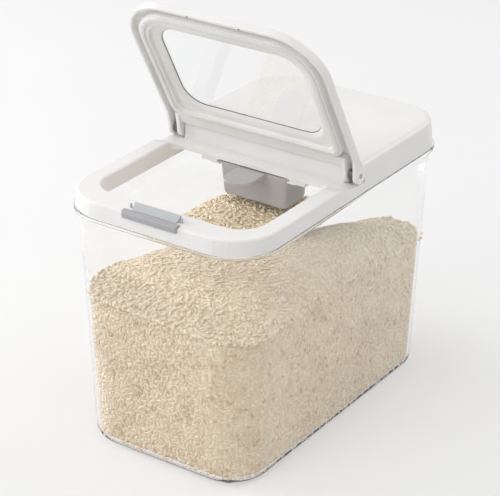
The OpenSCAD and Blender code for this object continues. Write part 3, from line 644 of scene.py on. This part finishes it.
def make_push_springs():
    """The latch's push springs, as a fixed copy of the CAD node's mesh on the cover; the real springs shorten
    as the button goes in, this copy does not.
    """
    name = "latch_springs"
    made = bpy.data.objects.new("push_springs", NODES[name].data.copy())
    bpy.context.scene.collection.objects.link(made)
    dress(made, STEEL_WIRE)
    smooth(made, 60.0)
    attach(made, "cover")
    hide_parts(name)
    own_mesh(made)


def fall(share, a, b):
    """Share of the heap's rise left at a share of its reach."""
    return (1 - np.minimum(np.abs(share), 1) ** a) ** b


def heap(x, y):
    """Height of the rice's top, as in the CAD."""
    edge = (RICE_H - TILT_X * x / RICE_X - TILT_BACK * np.maximum(y / RICE_Y, 0)
            - TILT_CORNER * np.maximum(-x / RICE_X, 0) * np.maximum(y / RICE_Y + 0.3, 0) / 1.3)
    along = np.where(y < 0, fall(y / RICE_Y, 2.4, 3.2), fall(y / RICE_Y, 2.4, 2.1))
    return edge + RICE_RISE * fall(x / RICE_X, 3.7, 1.5) * along


def grain_template(sides=4):
    """Unit grain along x: two tips and two rings."""
    rings = [(-0.5, 0.96), (0.5, 0.96)]
    points = [(-1.0, 0.0, 0.0)]
    for x, r in rings:
        points += [(x, r * math.cos(a), r * math.sin(a)) for a in
                   (2 * math.pi * (k + 0.5) / sides for k in range(sides))]
    points.append((1.0, 0.0, 0.0))
    faces = [(0, 1 + (k + 1) % sides, 1 + k) for k in range(sides)]
    faces += [(1 + k, 1 + (k + 1) % sides, 1 + sides + (k + 1) % sides, 1 + sides + k) for k in range(sides)]
    last = len(points) - 1
    faces += [(1 + sides + k, 1 + sides + (k + 1) % sides, last) for k in range(sides)]
    return np.array(points), faces


def unit(v):
    """Rows of v, each made one long."""
    return v / np.linalg.norm(v, axis=1, keepdims=True)


def grains(name, places, normals, tilt, flat_by, spread, material):
    """One mesh of grains that lie on a surface, each turned at random about the surface's normal."""
    count = len(places)
    template, faces = grain_template()
    normals = unit(normals + rng.normal(0, tilt, (count, 3)))
    along = unit(np.cross(normals, rng.normal(0, 1, (count, 3))))
    across = np.cross(normals, along)
    length = GRAIN_L / 2 * rng.uniform(0.82, 1.12, count)
    width = GRAIN_W / 2 * rng.uniform(0.85, 1.12, count)
    size = np.stack([length, width, width * flat_by], axis=1)
    shaped = template[None] * size[:, None]
    axes = np.stack([along, across, normals], axis=1)
    verts = (np.einsum("nvk,nkc->nvc", shaped, axes) + places[:, None]).reshape(-1, 3) * MM
    n = len(template)
    flat = np.array([i for f in faces for i in f])
    sizes = np.array([len(f) for f in faces])
    loops = (flat[None] + np.arange(count)[:, None] * n).ravel()
    totals = np.tile(sizes, count)
    mesh = bpy.data.meshes.new(name)
    mesh.vertices.add(len(verts))
    mesh.vertices.foreach_set("co", verts.ravel())
    mesh.loops.add(len(loops))
    mesh.loops.foreach_set("vertex_index", loops.astype(np.int32))
    mesh.polygons.add(len(totals))
    mesh.polygons.foreach_set("loop_start", np.concatenate([[0], np.cumsum(totals)[:-1]]).astype(np.int32))
    mesh.polygons.foreach_set("use_smooth", np.ones(len(totals), bool))
    mesh.update(calc_edges=True)
    tone = np.repeat(np.clip(rng.normal(0.6, spread, count), 0, 1), n)
    mesh.attributes.new("tone", "FLOAT", "POINT").data.foreach_set("value", tone.astype(np.float32))
    obj = bpy.data.objects.new(name, mesh)
    bpy.context.scene.collection.objects.link(obj)
    dress(obj, material)
    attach(obj, "bin")


def with_sides(points):
    """An outline with more points along its straight sides, which bow in a little."""
    full = []
    m = CORNER_STEPS + 1
    for c in range(4):
        full += points[c * m:(c + 1) * m]
        (ax, ay), (bx, by) = points[c * m + CORNER_STEPS], points[(c + 1) * m % (4 * m)]
        length = math.hypot(bx - ax, by - ay)
        n = (11, 19)[c % 2]
        for i in range(1, n + 1):
            t = i / (n + 1)
            bow = 4 * RICE_BOW * t * (1 - t) / length
            full.append((ax + t * (bx - ax) - bow * (by - ay), ay + t * (by - ay) + bow * (bx - ax)))
    return full


def rice_wall(z, inset):
    """The rice's edge against the wall at one height, moved in."""
    return with_sides(bin_wall(z, WALL + RICE_GAP + inset))


def around(z, inset, gap):
    """Points spread evenly round the wall at one height, each with the wall's outward direction."""
    ring = np.array(bin_wall(z, inset))
    steps = np.roll(ring, -1, axis=0) - ring
    lengths = np.linalg.norm(steps, axis=1)
    run = np.concatenate([[0], np.cumsum(lengths)])
    count = int(run[-1] / gap)
    places = (np.arange(count) + rng.uniform(0, 0.9, count)) / count * run[-1]
    i = np.clip(np.searchsorted(run, places, side="right") - 1, 0, len(steps) - 1)
    share = ((places - run[i]) / np.maximum(lengths[i], 1e-9))[:, None]
    outward = np.stack([steps[i, 1], -steps[i, 0], np.zeros(count)], axis=1)
    return ring[i] + steps[i] * share, unit(outward)


def make_bed():
    """The bed of rice under the loose grains."""
    inner_z = BASE_Z + BASE_T + EDGE_R * 0.75
    floor_z = BASE_Z + BASE_T + RICE_GAP
    rings = [at(rice_wall(BASE_Z, EDGE_R * k + RICE_SUNK), floor_z + EDGE_R * dz)
             for k, dz in ((0.75, 0), (0.3, 0.2))]
    rings += [at(rice_wall(z, RICE_SUNK), z) for z in (inner_z + RICE_GAP, 45.0, 80.0, 110.0)]
    edge = np.array(rice_wall(RICE_H, RICE_SUNK))
    for k in (1.0, 0.985, 0.95, 0.9, 0.84, 0.77, 0.69, 0.6, 0.5, 0.38, 0.24, 0.1):
        x, y = edge[:, 0] * k, edge[:, 1] * k
        rings.append(list(zip(x, y, heap(x, y) - RICE_SUNK)))
    verts, faces = skin(rings)
    bed = mesh_object("rice_bed", verts, faces, RICE_BED, "bin", 180)
    tone = rng.uniform(0.3, 0.8, len(bed.data.vertices)).astype(np.float32)
    bed.data.attributes.new("tone", "FLOAT", "POINT").data.foreach_set("value", tone)
    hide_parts("rice_fill")


def make_top_grains():
    """Loose grains over the heap, coloured lighter than the side grains: painted light, as if lit from above.
    """
    xs, ys = np.meshgrid(np.arange(-91, 91, TOP_CELL), np.arange(-156, 156, TOP_CELL))
    xs, ys = xs.ravel(), ys.ravel()
    xs, ys = xs + rng.uniform(0, TOP_CELL, len(xs)), ys + rng.uniform(0, TOP_CELL, len(ys))
    past_x = np.maximum(np.abs(xs) - (TOP_X - TOP_R), 0)
    past_y = np.maximum(np.abs(ys) - (TOP_Y - TOP_R), 0)
    inside = np.hypot(past_x, past_y) < TOP_R
    xs, ys = xs[inside], ys[inside]
    e = 1.0
    slope = np.stack([(heap(xs - e, ys) - heap(xs + e, ys)) / (2 * e),
                      (heap(xs, ys - e) - heap(xs, ys + e)) / (2 * e), np.ones(len(xs))], axis=1)
    places = np.stack([xs, ys, heap(xs, ys) + rng.uniform(-1.3, 0.5, len(xs))], axis=1)
    grains("rice_top", places, unit(slope), 0.2, 0.8, 0.16, RICE_TOP_PAINTED_LIT)


def make_side_grains():
    """Loose grains against the clear walls."""
    places, normals = [], []
    for z in np.arange(BASE_Z + BASE_T + EDGE_R * 0.6, RICE_H + 4, SIDE_STEP):
        p, out = around(z, WALL + RICE_GAP + SIDE_INSET, SIDE_GAP)
        zs = z + rng.uniform(-1.5, 1.5, len(p))
        low = zs < heap(p[:, 0], p[:, 1]) + 0.6
        places.append(np.column_stack([p, zs])[low])
        normals.append(out[low])
    grains("rice_sides", np.concatenate(places), np.concatenate(normals), 0.06, 0.8, 0.25, RICE)


def dress_nodes():
    """Materials and smooth shading on the CAD nodes that stay."""
    for name, material in FINISH.items():
        dress(NODES[name], material)
        smooth(NODES[name], 30.0)


# Share of plain white in the floor, for the rays that see the background
FLOOR_GLOW = 0.4

# Lamps: place in metres, size in metres, power in watts
LAMPS = {
    "front": ((-0.5, -2.0, 1.7), 1.2, 14.2),
    "over": ((-0.2, -0.5, 2.4), 1.2, 8.2),
    "left": ((-2.2, -0.5, 0.9), 1.4, 40.0),
    "right": ((1.8, -0.6, 1.0), 1.4, 5.9),
    "back": ((0.8, 1.9, 1.8), 1.5, 17.8),
}
LAMP_AIM = (0, 0, 0.2)

# The photograph's camera, as fitted to the bin's edges
AZIMUTH, ELEVATION, ROLL = 0.609866, 0.457665, 0.00097765
FOCAL_PX, DISTANCE, ACROSS, UPWARD, AIM_Z = 2034.385, 1832.267, 23.484, -31.478, 112.5
CENTRE_PX = (232.911, 249.55)
FRAME_PX = (500, 496)
SENSOR = 36.0


def make_camera():
    """The camera at the photograph's viewing angle."""
    ahead = Vector((-math.sin(AZIMUTH) * math.cos(ELEVATION), math.cos(AZIMUTH) * math.cos(ELEVATION),
                    -math.sin(ELEVATION)))
    right = ahead.cross(Vector((0, 0, 1))).normalized()
    up = right.cross(ahead)
    place = Vector((0, 0, AIM_Z)) - ahead * DISTANCE - right * ACROSS - up * UPWARD
    right, up = (right * math.cos(ROLL) + up * math.sin(ROLL), up * math.cos(ROLL) - right * math.sin(ROLL))
    data = bpy.data.cameras.new("camera")
    data.sensor_width = SENSOR
    data.lens = FOCAL_PX * SENSOR / FRAME_PX[0]
    data.shift_x = (FRAME_PX[0] / 2 - CENTRE_PX[0]) / FRAME_PX[0]
    data.shift_y = (CENTRE_PX[1] - FRAME_PX[1] / 2) / FRAME_PX[0]
    data.clip_end = 50.0
    cam = bpy.data.objects.new("camera", data)
    turned = Matrix((right, up, -ahead)).transposed().to_4x4()
    cam.matrix_world = Matrix.Translation(place * MM) @ turned
    bpy.context.scene.collection.objects.link(cam)
    bpy.context.scene.camera = cam


def area_light(name, place, size, watts):
    """A square soft lamp that points at the part."""
    data = bpy.data.lights.new(name, "AREA")
    data.shape = "SQUARE"
    data.size = size
    data.energy = watts
    lamp = bpy.data.objects.new(name, data)
    lamp.location = place
    lamp.rotation_euler = (Vector(LAMP_AIM) - Vector(place)).to_track_quat("-Z", "Y").to_euler()
    bpy.context.scene.collection.objects.link(lamp)


def seen_rays(tree):
    """1 for the rays that see the background: straight, in a reflection and through clear plastic."""
    path = tree.nodes.new("ShaderNodeLightPath")
    seen = path.outputs["Is Camera Ray"]
    for ray in ("Is Glossy Ray", "Is Transmission Ray"):
        seen = math_node(tree, "MAXIMUM", seen, path.outputs[ray])
    return seen


def make_floor():
    """A plain pale floor that keeps the part's shadow."""
    mesh = bpy.data.meshes.new("floor")
    half = 6.0
    corners = [(-half, -half, 0), (half, -half, 0), (half, half, 0), (-half, half, 0)]
    mesh.from_pydata(corners, [], [(0, 1, 2, 3)])
    floor = bpy.data.objects.new("floor", mesh)
    bpy.context.scene.collection.objects.link(floor)
    mat, tree, shader, out = start("floor")
    speck = noise(tree, 3.0, 2.0)
    tree.links.new(colours(tree, speck.outputs["Fac"], [(LOW, (0.79,) * 3), (HIGH, (0.81,) * 3)]),
                   shader.inputs["Base Color"])
    shader.inputs["Roughness"].default_value = 0.9
    shader.inputs["Specular IOR Level"].default_value = 0.2
    glow = node(tree, "ShaderNodeEmission", Color=(1, 1, 1, 1), Strength=1.0)
    share = math_node(tree, "MULTIPLY", seen_rays(tree), FLOOR_GLOW)
    tree.links.new(mixed(tree, share, shader.outputs["BSDF"], glow.outputs["Emission"]),
                   out.inputs["Surface"])
    dress(floor, mat)


def make_surround():
    """A world that lights softly and looks white as a background."""
    world = bpy.data.worlds.new("surround")
    bpy.context.scene.world = world
    world.use_nodes = True
    tree = world.node_tree
    tree.nodes.clear()
    out = tree.nodes.new("ShaderNodeOutputWorld")
    soft = node(tree, "ShaderNodeBackground", Color=(1, 1, 1, 1), Strength=0.45)
    white = node(tree, "ShaderNodeBackground", Color=(1, 1, 1, 1), Strength=1.0)
    tree.links.new(mixed(tree, seen_rays(tree), soft.outputs["Background"], white.outputs["Background"]),
                   out.inputs["Surface"])


make_camera()
dress_nodes()
make_bin()
make_lid()
make_springs()
make_push_springs()
make_bed()
make_top_grains()
make_side_grains()
make_floor()
make_surround()
for lamp_name, (place, size, watts) in LAMPS.items():
    area_light(lamp_name, place, size, watts)
view = bpy.context.scene.view_settings
view.view_transform = "Standard"
